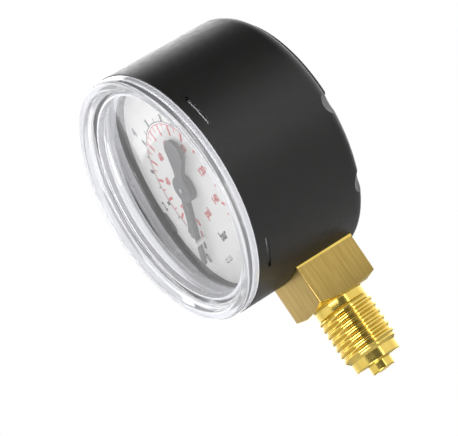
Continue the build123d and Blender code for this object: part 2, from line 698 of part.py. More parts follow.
NODES = {
    "case": case,
    "window": window,
    "dial": dial,
    "stem": stem,
    "stem_screws": stem_screws,
    "movement_back_plate": movement_back_plate,
    "movement_front_plate": movement_front_plate,
    "movement_pillars": movement_pillars,
    "movement_screws": movement_screws,
    "movement_mount_screws": movement_mount_screws,
    "bourdon_tube": bourdon_tube,
    "tube_end_piece": tube_end_piece,
    "tip_pin": tip_pin,
    "link": link,
    "link_pin": link_pin,
    "sector_gear": sector_gear,
    "sector_arbor": sector_arbor,
    "hairspring": hairspring,
    "hairspring_stud": hairspring_stud,
    "hairspring_collet": hairspring_collet,
    "pinion_shaft": pinion_shaft,
    "pointer": pointer,
    "pointer_bush": pointer_bush,
}

os.makedirs("parts", exist_ok=True)
for node, build in NODES.items():
    export_step(build(), f"parts/{node}.step")
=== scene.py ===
import json
from math import ceil, cos, pi, radians, sin, sqrt, tan

import bmesh
import bpy
from mathutils import Matrix, Vector

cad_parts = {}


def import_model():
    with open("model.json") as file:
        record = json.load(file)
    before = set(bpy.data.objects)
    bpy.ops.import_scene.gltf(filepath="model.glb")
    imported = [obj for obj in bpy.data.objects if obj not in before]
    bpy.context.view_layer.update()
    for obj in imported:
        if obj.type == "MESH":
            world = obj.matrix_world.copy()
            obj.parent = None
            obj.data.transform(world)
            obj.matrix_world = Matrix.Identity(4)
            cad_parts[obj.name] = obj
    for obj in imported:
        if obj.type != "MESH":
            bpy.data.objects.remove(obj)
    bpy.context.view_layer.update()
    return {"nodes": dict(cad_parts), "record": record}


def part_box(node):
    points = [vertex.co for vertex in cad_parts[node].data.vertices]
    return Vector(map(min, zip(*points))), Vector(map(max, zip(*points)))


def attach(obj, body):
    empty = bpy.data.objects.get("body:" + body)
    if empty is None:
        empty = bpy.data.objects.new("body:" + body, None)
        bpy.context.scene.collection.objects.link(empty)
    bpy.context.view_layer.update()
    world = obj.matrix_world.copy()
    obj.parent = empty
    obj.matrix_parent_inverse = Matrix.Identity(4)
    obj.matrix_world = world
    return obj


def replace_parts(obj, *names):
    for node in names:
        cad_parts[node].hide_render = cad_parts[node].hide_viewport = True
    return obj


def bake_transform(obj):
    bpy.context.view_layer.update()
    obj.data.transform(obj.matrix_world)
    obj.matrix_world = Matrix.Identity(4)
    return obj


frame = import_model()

# A bottom-connection pressure gauge. Lengths here are in millimetres until MM turns them to metres.
# +Z runs up the stem and the dial faces -Y. Clock angles are degrees, clockwise from 12.
MM = 0.001

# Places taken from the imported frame
case_low, case_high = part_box("case")
dial_low, dial_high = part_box("dial")
window_low, window_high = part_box("window")
stem_low, stem_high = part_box("stem")
DIAL_THICKNESS = 1.0
DIAL_AXIS_Z = (dial_low.z + dial_high.z) / 2 / MM
DIAL_FACE_Y = dial_high.y / MM - DIAL_THICKNESS
CASE_FRONT_Y = case_low.y / MM

# Shading: the widest turn that still looks smooth, and the flat rows that keep corners crisp
SMOOTH_ANGLE = 32
CRISP_ROW = 0.03

# Stem, from its lower end up
STEM_COLUMNS = 160
BORE_R = 1.25
BORE_CHAMFER = 0.15
PILOT_R = 2.5
PILOT_END_Z = stem_low.z / MM
PILOT_CORNER_R = 0.3
PILOT_ROOT_R = 0.12
SPIGOT_R = 5.05
SPIGOT_CORNER_R = 0.2
THREAD_R = 5.95
THREAD_ROOT_R = 5.58
THREAD_PITCH = 1.5
THREAD_FOOT_Z = 2.1
THREAD_END_Z = 12.19
THREAD_FADE = 0.7
RELIEF_R = 5.45
RELIEF_Z = THREAD_END_Z + THREAD_R - RELIEF_R
RELIEF_ROOT_R = 0.25
BLOCK_BOTTOM_Z = 14.5
BLOCK_HALF_WIDTH = stem_high.x / MM
BLOCK_CORNER_R = 0.3
BLOCK_EDGE_R = 0.1
BLOCK_TURNED_R = 7.3
BLOCK_TURNED_SLOPE = tan(radians(17))
BLOCK_NECK_Z = 23.2
SEAT_GAP = 0.01

# Bourdon tube, from its socket to its end piece
TUBE_R = 18.9
TUBE_Y = 3.0
TUBE_WIDTH = 6.4
TUBE_THICKNESS = 2.2
TUBE_CLOCKS = (186.0, 487.5)
TUBE_CLOCK_STEP = 3

# Window
WINDOW_COLUMNS = 360
BEAD_R = window_high.x / MM
BEAD_FRONT_Y = window_low.y / MM
BEAD_ROUND_R = 0.65
BEAD_INSIDE_R = 0.5
BEAD_WIDTH = 1.45
BEAD_FOOT_R = 0.3
LEDGE_WIDTH = 2.2
LEDGE_HEIGHT = 0.62
GROOVE_WIDTH = 2.5
GROOVE_HEIGHT = 0.5
BEAD_SEAT = 0.05
SKIRT_R = 25.15
SKIRT_INNER_R = 23.4
SKIRT_STEP = 0.35
SKIRT_STEP_Y = -14.65
SKIRT_FOOT_Y = -13.2
SKIRT_END_Y = window_high.y / MM
DISC_FRONT_Y = -18.4
DISC_BACK_Y = -17.2
DISC_CORNER_R = 0.7
HOOK_R = 25.62
HOOK_BACK_Y = -14.25
HOOK_HEIGHT = 0.55
HOOK_COUNT = 5
HOOK_FIRST_CLOCK = 71
HOOK_SPAN = 14

# Finishes of the window's bands, in the order of its materials; the milky haze of the bead and the skirt is
# painted light
CLEAR, MILKY_LIGHT, SATIN_MILKY_LIGHT = range(3)

# Camera
CAMERA_TARGET = (0, -9.67, 39.48)
CAMERA_DISTANCE = 911
CAMERA_AZIMUTH = 63.76
CAMERA_ELEVATION = -5.97
CAMERA_ROLL = 34.07
CAMERA_LENS = 365
SENSOR_WIDTH = 36

# Studio, in metres and degrees; a glow fades in between two cosines of the angle from its middle
DARK_ROOM_AZIMUTH = 58
DARK_ROOM_EDGE = (0.70, 0.86)
DARK_ROOM_GLOW = 0.16
DARK_CEILING_EDGE = (0.3, 0.75)
DARK_CEILING_GLOW = 0.12
SWEEP_EDGE = (0.2, 0.85)
SWEEP_GLOW = 1.6
MIRRORED_EDGE = (0.75, 0.95)
MIRRORED_GLOW = 0.8
LAMP_DISTANCE = 0.75
RIM_LAMP_DISTANCE = 0.35
FLOOR_RADIUS = 2.0
FLOOR_Z = -0.3

# Dial scales: clock angles of the pressure marks
ZERO_CLOCK = 225.0
ONE_BAR_CLOCK = 245.5
CLOCK_PER_BAR = 28.2
FULL_BAR = 10
PSI_PER_BAR = 14.504

# Dial print: radii of the arcs, the ends of the marks and the middles of the numerals
PRINT_THICKNESS = 0.02
ARC_OVERRUN = 0.8
ARC_CLOCK_STEP = 2
BAR_ARC_R = 15.25
BAR_ARC_HALF_WIDTH = 0.11
BAR_MARK_ROOT_R = 15.3
BAR_MARK_R = 17.0
HALF_BAR_MARK_R = 16.3
BAR_NUMERAL_R = 19.9
PSI_ARC_R = 14.72
PSI_ARC_HALF_WIDTH = 0.1
PSI_MARK_ROOT_R = 14.7
PSI_MARK_R = 12.1
SHORT_PSI_MARK_R = 13.4
PSI_NUMERAL_R = 9.9

# Most of a noise's values lie between these two
NOISE_LOW = 0.3
NOISE_HIGH = 0.7

# Light that has crossed more surfaces of clear plastic than this is let straight through
TRAPPED_DEPTH = 4


# ---------------------------------------------------------------- materials


class Surface:
    """A material built on one Principled shader, with nodes added by name."""

    def __init__(self, name, **values):
        self.material = bpy.data.materials.new(name)
        self.material.use_nodes = True
        self.nodes = self.material.node_tree.nodes
        self.links = self.material.node_tree.links
        self.shader = self.nodes["Principled BSDF"]
        for socket, value in values.items():
            self.shader.inputs[socket.replace("_", " ")].default_value = value

    def add(self, kind, settings=None, **inputs):
        node = self.nodes.new("ShaderNode" + kind)
        for key, value in (settings or {}).items():
            setattr(node, key, value)
        for socket, value in inputs.items():
            target = node.inputs[socket.replace("_", " ")]
            if isinstance(value, bpy.types.NodeSocket):
                self.links.new(value, target)
            else:
                target.default_value = value
        return node

    def place(self, stretch):
        """Object coordinates in millimetres, stretched along the axes."""
        where = self.add("TexCoord").outputs["Object"]
        scale = [1 / MM / s for s in stretch]
        return self.add("Mapping", Vector=where, Scale=scale).outputs["Vector"]

    def noise(self, scale, detail, stretch=(1, 1, 1)):
        where = self.place(stretch)
        return self.add("TexNoise", Vector=where, Scale=scale, Detail=detail).outputs["Fac"]

    def ramp(self, value, low, high):
        """A noise value mapped to low..high."""
        node = self.add(
            "MapRange", Value=value, From_Min=NOISE_LOW, From_Max=NOISE_HIGH, To_Min=low, To_Max=high
        )
        return node.outputs["Result"]

    def math(self, operation, *values):
        node = self.add("Math", {"operation": operation})
        for socket, value in zip(node.inputs, values):
            if isinstance(value, bpy.types.NodeSocket):
                self.links.new(value, socket)
            else:
                socket.default_value = value
        return node.outputs["Value"]

    def tint(self, value, low, high):
        """Two colours mixed by a noise value."""
        node = self.add("ValToRGB", Fac=value)
        for stop, colour, position in zip(node.color_ramp.elements, (low, high), (NOISE_LOW, NOISE_HIGH)):
            stop.color = (*colour, 1)
            stop.position = position
        return node.outputs["Color"]

    def drive(self, socket, value):
        self.links.new(value, self.shader.inputs[socket])

    def bump(self, height, depth, strength):
        """Relief of this depth in millimetres."""
        node = self.add("Bump", Height=height, Strength=strength, Distance=depth * MM)
        self.drive("Normal", node.outputs["Normal"])


def case_plastic():
    """Satin black moulded ABS with a fine sparked grain."""
    s = Surface("case_plastic", IOR=1.53)
    s.drive("Base Color", s.tint(s.noise(0.12, 3), (0.0075, 0.0070, 0.0064), (0.0105, 0.0098, 0.0090)))
    s.drive("Roughness", s.ramp(s.noise(0.7, 4), 0.37, 0.47))
    s.bump(s.noise(3.2, 3), 0.012, 0.5)
    return s.material


def clear_plastic(name, roughness, painted_light_haze):
    """Clear moulded plastic that shadow rays, diffuse rays and much-reflected rays pass straight through.
    Its haze is painted light: a milky white share that stands in for light gathered in the plastic.
    """
    # The haze trades transmission for a milky white diffuse share, painted light where light gathers in the
    # clear plastic
    s = Surface(name, Base_Color=(0.96, 0.965, 1, 1), IOR=1.5, Transmission_Weight=1.0 - painted_light_haze)
    s.drive("Roughness", s.ramp(s.noise(0.25, 3), roughness, roughness + 0.03))
    s.bump(s.noise(0.35, 1), 0.01, 0.15)
    clear = s.add("BsdfTransparent", Color=(0.93, 0.935, 0.945, 1))
    path = s.add("LightPath")
    lit = s.math("MAXIMUM", path.outputs["Is Shadow Ray"], path.outputs["Is Diffuse Ray"])
    trapped = s.math("GREATER_THAN", path.outputs["Transmission Depth"], TRAPPED_DEPTH)
    mix = s.add("MixShader", Fac=s.math("MAXIMUM", lit, trapped))
    s.links.new(s.shader.outputs["BSDF"], mix.inputs[1])
    s.links.new(clear.outputs["BSDF"], mix.inputs[2])
    s.links.new(mix.outputs["Shader"], s.nodes["Material Output"].inputs["Surface"])
    return s.material


def window_plastic():
    return clear_plastic("window_plastic", 0.0, 0.0)


def bead_plastic():
    """The raised bead has a milky white haze all over, painted light for the room's light that gathers in
    the clear bead.
    """
    return clear_plastic("bead_plastic", 0.02, 0.3)


def skirt_plastic():
    """The skirt keeps the satin of an unpolished mould; its strong milky haze is painted light that
    brightens its walls.
    """
    return clear_plastic("skirt_plastic", 0.25, 0.75)


def dial_plastic():
    """Matt white lacquered face, very slightly uneven."""
    s = Surface("dial_plastic", IOR=1.48)
    s.drive("Base Color", s.tint(s.noise(0.15, 3), (0.765, 0.75, 0.70), (0.795, 0.78, 0.73)))
    s.drive("Roughness", s.ramp(s.noise(1.5, 4), 0.42, 0.55))
    s.bump(s.noise(6, 2), 0.004, 0.4)
    return s.material


def printing_ink(name, low, high):
    """Screen-printed ink with slight pinholes in its density."""
    s = Surface(name, IOR=1.5)
    s.drive("Base Color", s.tint(s.noise(5, 4), low, high))
    s.drive("Roughness", s.ramp(s.noise(3, 3), 0.4, 0.55))
    return s.material


def pointer_plastic():
    """Matt black moulded plastic, a touch lighter than the case."""
    s = Surface("pointer_plastic", IOR=1.5)
    s.drive("Base Color", s.tint(s.noise(0.8, 3), (0.075, 0.074, 0.072), (0.095, 0.094, 0.090)))
    s.drive("Roughness", s.ramp(s.noise(2, 4), 0.32, 0.42))
    s.bump(s.noise(5, 2), 0.004, 0.3)
    return s.material


def metal(name, low, high, roughness, streaks, depth):
    """Bare metal: streaks gives how far the tool marks stretch along X, Y and Z."""
    s = Surface(name, Metallic=1.0)
    s.drive("Base Color", s.tint(s.noise(0.35, 4), low, high))
    marks = s.noise(6, 4, streaks)
    s.drive("Roughness", s.ramp(marks, *roughness))
    s.bump(marks, depth, 0.6)
    return s.material


def lathe_brass():
    """Bright turned brass: fine rings around the stem."""
    return metal("turned_brass", (0.76, 0.55, 0.11), (0.85, 0.63, 0.16), (0.11, 0.18), (30, 30, 0.35), 0.001)


def drawn_brass():
    """Cold-drawn brass bar: dull lines along the stem and a thin tarnish."""
    s = Surface("drawn_brass", Metallic=1.0)
    lines = s.noise(3.5, 5, (1, 1, 28))
    s.drive("Base Color", s.tint(lines, (0.42, 0.29, 0.080), (0.56, 0.395, 0.125)))
    s.drive("Roughness", s.ramp(s.noise(5, 4, (1, 1, 22)), 0.30, 0.46))
    s.bump(lines, 0.012, 0.7)
    return s.material


def tube_bronze():
    """Drawn bronze strip with fine lines along its bend."""
    return metal("drawn_bronze", (0.55, 0.33, 0.17), (0.66, 0.42, 0.24), (0.22, 0.34), (12, 1, 12), 0.005)


# ---------------------------------------------------------------- mesh tools


def on_clock(reach, clock):
    """(x, z) in millimetres about the dial axis."""
    return (reach * sin(radians(clock)), reach * cos(radians(clock)))


def new_object(name, mesh, materials):
    piece = bpy.data.objects.new(name, mesh)
    bpy.context.collection.objects.link(piece)
    for material in materials:
        mesh.materials.append(material)
    return piece


def fixed_piece(name, mesh, materials):
    """A piece that stays with the case."""
    piece = new_object(name, mesh, materials)
    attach(piece, "root")
    return piece


def set_materials(node, material):
    """Shows a CAD node in one material."""
    piece = frame["nodes"][node]
    if not piece.material_slots:
        piece.data.materials.append(material)
    for each in piece.material_slots:
        each.link = "OBJECT"
        each.material = material


def arc(centre, radius, start, end, steps):
    """Points of a round stretch of an outline; angles in degrees from its first axis."""
    points = []
    for i in range(steps + 1):
        angle = radians(start + (end - start) * i / steps)
        points.append((centre[0] + radius * cos(angle), centre[1] + radius * sin(angle)))
    return points


def turned_mesh(profile, columns, radius_at, looks):
    """A closed ring of (radius, y) points turned about the dial axis; looks gives each band's material."""
    bm = bmesh.new()
    rings = []
    for i in range(columns):
        clock = 360 * (i + 0.5) / columns
        ring = []
        for index, (_, y) in enumerate(profile):
            x, z = on_clock(radius_at(index, clock), clock)
            ring.append(bm.verts.new((x * MM, y * MM, (DIAL_AXIS_Z + z) * MM)))
        rings.append(ring)
    for i in range(columns):
        here, there = rings[i], rings[(i + 1) % columns]
        for k, look in enumerate(looks):
            after = (k + 1) % len(profile)
            face = bm.faces.new((here[k], here[after], there[after], there[k]))
            face.material_index = look
    return bm


def skin(bm, ring, after, material=0):
    """Quads between two rings of vertices."""
    for here in range(len(ring)):
        there = (here + 1) % len(ring)
        face = bm.faces.new((ring[here], ring[there], after[there], after[here]))
        face.material_index = material


def finish_mesh(bm, name):
    """A closed mesh, shaded smooth except across sharp corners."""
    bmesh.ops.remove_doubles(bm, verts=bm.verts, dist=1e-7)
    bmesh.ops.dissolve_degenerate(bm, edges=bm.edges, dist=1e-8)
    bmesh.ops.recalc_face_normals(bm, faces=bm.faces)
    mesh = bpy.data.meshes.new(name)
    bm.to_mesh(mesh)
    bm.free()
    for polygon in mesh.polygons:
        polygon.use_smooth = True
    mesh.set_sharp_from_angle(angle=radians(SMOOTH_ANGLE))
    return mesh


# ---------------------------------------------------------------- stem


def stem_directions():
    """Even steps around the stem, with more at the block's rounded corners."""
    even = [360 * i / STEM_COLUMNS for i in range(STEM_COLUMNS)]
    corners = [45 + 90 * i + offset for i in range(4) for offset in (-1.2, -0.8, -0.4, 0.4, 0.8, 1.2)]
    return sorted(even + corners)


def block_reach(direction):
    """From the stem's axis to the side of the square block with rounded corners."""
    off_corner = 45 - abs((direction + 45) % 90 - 45)
    off_face = radians(45 - off_corner)
    flat = BLOCK_HALF_WIDTH - BLOCK_CORNER_R
    if BLOCK_HALF_WIDTH * tan(off_face) <= flat:
        return BLOCK_HALF_WIDTH / cos(off_face)
    across = flat * sqrt(2) * sin(radians(off_corner))
    return flat * sqrt(2) * cos(radians(off_corner)) + sqrt(BLOCK_CORNER_R**2 - across**2)


def thread_depths():
    """(distance along the stem, depth) over one pitch: flat crest, flanks and flat root."""
    depth = THREAD_R - THREAD_ROOT_R
    crest = [(0, 0), (0.22, 0.005), (0.25, 0.02), (0.28, 0.06)]
    half = crest + [(THREAD_PITCH / 4, depth / 2)]
    half += [(THREAD_PITCH / 2 - along, depth - down) for along, down in reversed(crest[1:])]
    falling = [(THREAD_PITCH - along, down) for along, down in reversed(half[1:])]
    return half + [(THREAD_PITCH / 2, depth)] + falling


def thread_r(z, depth):
    """Radius of the thread, faded out by the cones at its two ends."""
    radius = min(THREAD_R - depth, SPIGOT_R + z - THREAD_FOOT_Z)
    fade = (z - (RELIEF_Z - THREAD_FADE)) / THREAD_FADE
    if fade > 0:
        radius += (RELIEF_R - radius) * fade
    return radius


def stem_ring(bm, directions, reach_at, z_at):
    ring = []
    for direction in directions:
        reach, z, turn = reach_at(direction), z_at(direction), radians(direction)
        ring.append(bm.verts.new((reach * cos(turn) * MM, reach * sin(turn) * MM, z * MM)))
    return ring


def threaded_skin(bm, directions):
    """Helical rows of the thread; the last column meets the first one pitch higher up."""
    pitch_rows = thread_depths()
    rows = []
    turn = -1
    while turn * THREAD_PITCH + THREAD_FOOT_Z < RELIEF_Z:
        for along, depth in pitch_rows:
            start = THREAD_FOOT_Z + turn * THREAD_PITCH + along

            def z_at(direction, start=start):
                return min(max(start + THREAD_PITCH * direction / 360, THREAD_FOOT_Z), RELIEF_Z)

            def reach_at(direction, depth=depth, z_at=z_at):
                return thread_r(z_at(direction), depth)

            rows.append(stem_ring(bm, directions, reach_at, z_at))
        turn += 1
    step = len(pitch_rows)
    last = len(rows) - 1
    for low in range(last):
        row = rows[low] + [rows[min(low + step, last)][0]]
        above = rows[low + 1] + [rows[min(low + step + 1, last)][0]]
        for k in range(len(directions)):
            corners = dict.fromkeys((row[k], row[k + 1], above[k + 1], above[k]))
            bm.faces.new(corners)
    return rows[0], rows[-1]


def stem_lower(bm):
    """Bore, pilot, spigot, thread, relief and wrench block as one closed skin."""
    directions = stem_directions()

    def plain(radius, z):
        return stem_ring(bm, directions, lambda direction: radius, lambda direction: z)

    pilot_corner_z = PILOT_END_Z + PILOT_CORNER_R
    lower = [(BORE_R, BLOCK_NECK_Z), (BORE_R, PILOT_END_Z + BORE_CHAMFER)]
    lower += [(BORE_R + BORE_CHAMFER, PILOT_END_Z)]
    lower += arc((PILOT_R - PILOT_CORNER_R, pilot_corner_z), PILOT_CORNER_R, -90, 0, 5)
    lower += [(PILOT_R, pilot_corner_z + CRISP_ROW), (PILOT_R, -PILOT_ROOT_R - CRISP_ROW)]
    lower += [(PILOT_R, -PILOT_ROOT_R), (PILOT_R + PILOT_ROOT_R / 3, -PILOT_ROOT_R / 3)]
    lower += [(PILOT_R + PILOT_ROOT_R, 0)]
    lower += arc((SPIGOT_R - SPIGOT_CORNER_R, SPIGOT_CORNER_R), SPIGOT_CORNER_R, -90, 0, 4)
    lower += [(SPIGOT_R, SPIGOT_CORNER_R + CRISP_ROW), (SPIGOT_R, THREAD_FOOT_Z - CRISP_ROW)]
    rings = [plain(*point) for point in lower]
    for ring, after in zip(rings, rings[1:]):
        skin(bm, ring, after)
    thread_low, thread_high = threaded_skin(bm, directions)
    skin(bm, rings[-1], thread_low)

    relief = [(RELIEF_R, RELIEF_Z + CRISP_ROW)]
    relief += arc((RELIEF_R + RELIEF_ROOT_R, BLOCK_BOTTOM_Z - RELIEF_ROOT_R), RELIEF_ROOT_R, 180, 90, 4)
    ring = thread_high
    for point in relief:
        after = plain(*point)
        skin(bm, ring, after)
        ring = after

    def cone_z(direction):
        return BLOCK_BOTTOM_Z + max(0, block_reach(direction) - BLOCK_TURNED_R) * BLOCK_TURNED_SLOPE

    def bottom_reach(direction):
        return min(BLOCK_TURNED_R, block_reach(direction) - 1.2 * BLOCK_EDGE_R)

    after = stem_ring(bm, directions, bottom_reach, lambda direction: BLOCK_BOTTOM_Z)
    skin(bm, ring, after)
    ring = after
    for inward, upward in ((1, 0), (0.3, 0.3), (0, 1)):

        def reach_at(direction, inward=inward):
            return block_reach(direction) - inward * BLOCK_EDGE_R

        def z_at(direction, upward=upward):
            return cone_z(direction) + upward * BLOCK_EDGE_R

        after = stem_ring(bm, directions, reach_at, z_at)
        skin(bm, ring, after)
        ring = after
    top = stem_ring(bm, directions, block_reach, lambda direction: BLOCK_NECK_Z)
    skin(bm, ring, top, 1)
    skin(bm, top, rings[0])


def stem():
    """The lower stem from its own mesh; the seat inside the case from the CAD."""
    bm = bmesh.new()
    stem_lower(bm)
    finished = finish_mesh(bm, "stem_lower")
    lower = fixed_piece("stem_lower", finished, [lathe_brass(), drawn_brass()])
    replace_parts(lower, "stem")
    bm = bmesh.new()
    bm.from_mesh(frame["nodes"]["stem"].data)
    bm.transform(frame["nodes"]["stem"].matrix_world)
    cut = (0, 0, (BLOCK_NECK_Z + SEAT_GAP) * MM)
    geometry = bm.verts[:] + bm.edges[:] + bm.faces[:]
    sliced = bmesh.ops.bisect_plane(bm, geom=geometry, plane_co=cut, plane_no=(0, 0, 1), clear_inner=True)
    edges = [item for item in sliced["geom_cut"] if isinstance(item, bmesh.types.BMEdge)]
    bmesh.ops.triangle_fill(bm, edges=edges, use_dissolve=True, use_beauty=True)
    for face in bm.faces:
        face.material_index = 0
    seat = fixed_piece("stem_seat", finish_mesh(bm, "stem_seat"), [lathe_brass()])
    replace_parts(seat, "stem")


# ---------------------------------------------------------------- window


def on_hook(clock):
    """Whether a direction about the dial axis crosses one of the snap hooks."""
    pitch = 360 / HOOK_COUNT
    return abs((clock - HOOK_FIRST_CLOCK + pitch / 2) % pitch - pitch / 2) < HOOK_SPAN / 2


def window():
    """Raised round bead, recessed disc and a skirt with snap hooks."""
    bead_centre = (BEAD_R - BEAD_ROUND_R, BEAD_FRONT_Y + BEAD_ROUND_R)
    shoulder_y = CASE_FRONT_Y - BEAD_SEAT
    step_r = SKIRT_INNER_R - SKIRT_STEP
    hook_front_y = HOOK_BACK_Y - HOOK_HEIGHT
    profile = [(0, DISC_BACK_Y)]
    profile += arc((step_r - DISC_CORNER_R, DISC_BACK_Y + DISC_CORNER_R), DISC_CORNER_R, -90, 0, 5)
    profile += [(step_r, SKIRT_STEP_Y - SKIRT_STEP), (SKIRT_INNER_R, SKIRT_STEP_Y)]
    skirt_inside = range(1, len(profile))
    profile += [(SKIRT_INNER_R, SKIRT_FOOT_Y)]
    profile += [(SKIRT_INNER_R, SKIRT_END_Y), (SKIRT_R, SKIRT_END_Y), (SKIRT_R, HOOK_BACK_Y)]
    hook_points = range(len(profile), len(profile) + 2)
    profile += [(HOOK_R, HOOK_BACK_Y), (HOOK_R, hook_front_y)]
    profile += [(SKIRT_R, hook_front_y), (SKIRT_R, shoulder_y), (BEAD_R - BEAD_SEAT, shoulder_y)]
    bead_start = len(profile) - 1
    skirt_outside = range(hook_points[-1], bead_start)
    profile += [(BEAD_R, shoulder_y - BEAD_SEAT)]
    profile += arc(bead_centre, BEAD_ROUND_R, 0, -90, 8)
    profile += arc((BEAD_R - BEAD_WIDTH, BEAD_FRONT_Y + BEAD_INSIDE_R), BEAD_INSIDE_R, -90, -170, 6)
    profile += [(BEAD_R - LEDGE_WIDTH, DISC_FRONT_Y - LEDGE_HEIGHT)]
    profile += [(BEAD_R - GROOVE_WIDTH, DISC_FRONT_Y - GROOVE_HEIGHT)]
    foot_r = BEAD_R - GROOVE_WIDTH - GROOVE_HEIGHT
    profile += arc((foot_r, DISC_FRONT_Y - BEAD_FOOT_R), BEAD_FOOT_R, 0, 90, 4)
    bead = range(bead_start, len(profile) - 1)
    profile += [(0, DISC_FRONT_Y)]
    looks = [CLEAR] * len(profile)
    # The bead and the skirt get milky plastics whose haze is painted light
    for band, look in ((bead, MILKY_LIGHT), (skirt_inside, SATIN_MILKY_LIGHT), (skirt_outside, SATIN_MILKY_LIGHT)):
        for k in band:
            looks[k] = look

    def radius_at(index, clock):
        if index in hook_points and not on_hook(clock):
            return SKIRT_R
        return profile[index][0]

    mesh = finish_mesh(turned_mesh(profile, WINDOW_COLUMNS, radius_at, looks), "window_clear")
    plastics = [window_plastic(), bead_plastic(), skirt_plastic()]
    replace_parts(fixed_piece("window_clear", mesh, plastics), "window")


# ---------------------------------------------------------------- Bourdon tube


def bourdon_tube():
    """A flattened tube round the dial axis."""
    half_flat = (TUBE_WIDTH - TUBE_THICKNESS) / 2
    section = arc((0, half_flat), TUBE_THICKNESS / 2, 0, 180, 10)
    section += arc((0, -half_flat), TUBE_THICKNESS / 2, 180, 360, 10)
    first, last = TUBE_CLOCKS
    steps = ceil((last - first) / TUBE_CLOCK_STEP)
    bm = bmesh.new()
    rings = []
    for i in range(steps + 1):
        clock = first + (last - first) * i / steps
        ring = []
        for out, along in section:
            x, z = on_clock(TUBE_R + out, clock)
            ring.append(bm.verts.new((x * MM, (TUBE_Y + along) * MM, (DIAL_AXIS_Z + z) * MM)))
        rings.append(ring)
    for ring, after in zip(rings, rings[1:]):
        skin(bm, ring, after)
    bm.faces.new(rings[0])
    bm.faces.new(rings[-1])
    piece = new_object("flattened_tube", finish_mesh(bm, "flattened_tube"), [tube_bronze()])
    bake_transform(piece)
    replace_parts(piece, "bourdon_tube")


# ---------------------------------------------------------------- dial printing


def bar_clock(bar):
    """The scale is pinched below 1 bar, where the stop holds the pointer."""
    if bar < 1:
        return ZERO_CLOCK + (ONE_BAR_CLOCK - ZERO_CLOCK) * bar
    return ONE_BAR_CLOCK + CLOCK_PER_BAR * (bar - 1)


def scale_arc(bm, radius, half_width):
    """A thin printed arc over the whole scale."""
    inner, outer = radius - half_width, radius + half_width
    start, end = bar_clock(0) - ARC_OVERRUN, bar_clock(FULL_BAR) + ARC_OVERRUN
    steps = ceil((end - start) / ARC_CLOCK_STEP)
    for i in range(steps):
        here, there = (start + (end - start) * k / steps for k in (i, i + 1))
        corners = [on_clock(inner, here), on_clock(outer, here)]
        corners += [on_clock(outer, there), on_clock(inner, there)]
        bm.faces.new([bm.verts.new(on_dial(*c)) for c in corners])


def on_dial(x, z):
    return (x * MM, (DIAL_FACE_Y - PRINT_THICKNESS) * MM, (DIAL_AXIS_Z + z) * MM)


def tick(bm, clock, inner, outer, width):
    """A radial printed line."""
    along = Vector(on_clock(1, clock))
    across = Vector(on_clock(width / 2, clock + 90))
    corners = [along * inner - across, along * outer - across]
    corners += [along * outer + across, along * inner + across]
    bm.faces.new([bm.verts.new(on_dial(*c)) for c in corners])


def lettering(bm, text, x, z, size, thicken):
    """Printed characters, upright and centred on a place."""
    curve = bpy.data.curves.new("lettering", "FONT")
    curve.body = text
    curve.size = size * MM
    curve.align_x = "CENTER"
    curve.align_y = "CENTER"
    curve.offset = thicken * MM
    curve.resolution_u = 4
    holder = bpy.data.objects.new("lettering", curve)
    bpy.context.collection.objects.link(holder)
    graph = bpy.context.evaluated_depsgraph_get()
    mesh = bpy.data.meshes.new_from_object(holder.evaluated_get(graph))
    at = Matrix.Translation(Vector(on_dial(x, z))) @ Matrix.Rotation(pi / 2, 4, "X")
    mesh.transform(at)
    bm.from_mesh(mesh)
    bpy.data.objects.remove(holder)
    bpy.data.meshes.remove(mesh)


def printed_piece(bm, name, ink):
    """Gives the flat print its thickness, down onto the dial."""
    bmesh.ops.remove_doubles(bm, verts=bm.verts, dist=1e-7)
    bmesh.ops.recalc_face_normals(bm, faces=bm.faces)
    out = bmesh.ops.extrude_face_region(bm, geom=list(bm.faces))
    moved = [v for v in out["geom"] if isinstance(v, bmesh.types.BMVert)]
    bmesh.ops.translate(bm, verts=moved, vec=(0, PRINT_THICKNESS * MM, 0))
    bmesh.ops.recalc_face_normals(bm, faces=bm.faces)
    mesh = bpy.data.meshes.new(name)
    bm.to_mesh(mesh)
    bm.free()
    fixed_piece(name, mesh, [ink])


def bar_scale():
    """The outer black scale: a mark each half bar and a numeral each two bar."""
    bm = bmesh.new()
    scale_arc(bm, BAR_ARC_R, BAR_ARC_HALF_WIDTH)
    for bar in range(FULL_BAR + 1):
        tick(bm, bar_clock(bar), BAR_MARK_ROOT_R, BAR_MARK_R, 0.95)
    for bar in range(FULL_BAR):
        tick(bm, bar_clock(bar + 0.5), BAR_MARK_ROOT_R, HALF_BAR_MARK_R, 0.35)
    for bar in range(0, FULL_BAR + 1, 2):
        x, z = on_clock(BAR_NUMERAL_R, bar_clock(bar))
        lettering(bm, str(bar), x, z, 3.1, 0.14)
    lettering(bm, "bar", 0.5, -12.8, 2.9, 0.12)
    lettering(bm, "Cl. 2.5", -4.3, -17.4, 1.5, 0.03)
    ink = printing_ink("black_ink", (0.02, 0.02, 0.022), (0.035, 0.035, 0.04))
    printed_piece(bm, "bar_scale_print", ink)


def psi_scale():
    """The inner red scale: a mark each 5 psi and a numeral each 20."""
    bm = bmesh.new()
    scale_arc(bm, PSI_ARC_R, PSI_ARC_HALF_WIDTH)
    top = int(FULL_BAR * PSI_PER_BAR)
    for psi in range(0, top + 1, 5):
        clock = bar_clock(psi / PSI_PER_BAR)
        if psi % 10:
            tick(bm, clock, SHORT_PSI_MARK_R, PSI_MARK_ROOT_R, 0.3)
        else:
            tick(bm, clock, PSI_MARK_R, PSI_MARK_ROOT_R, 0.65)
    for psi in range(0, top + 1, 20):
        x, z = on_clock(PSI_NUMERAL_R, bar_clock(psi / PSI_PER_BAR))
        lettering(bm, str(psi), x, z, 2.3, 0.12)
    lettering(bm, "psi", 0.3, -7.0, 2.9, 0.10)
    ink = printing_ink("red_ink", (0.55, 0.03, 0.04), (0.68, 0.06, 0.07))
    printed_piece(bm, "psi_scale_print", ink)


# ---------------------------------------------------------------- stage, lights and camera


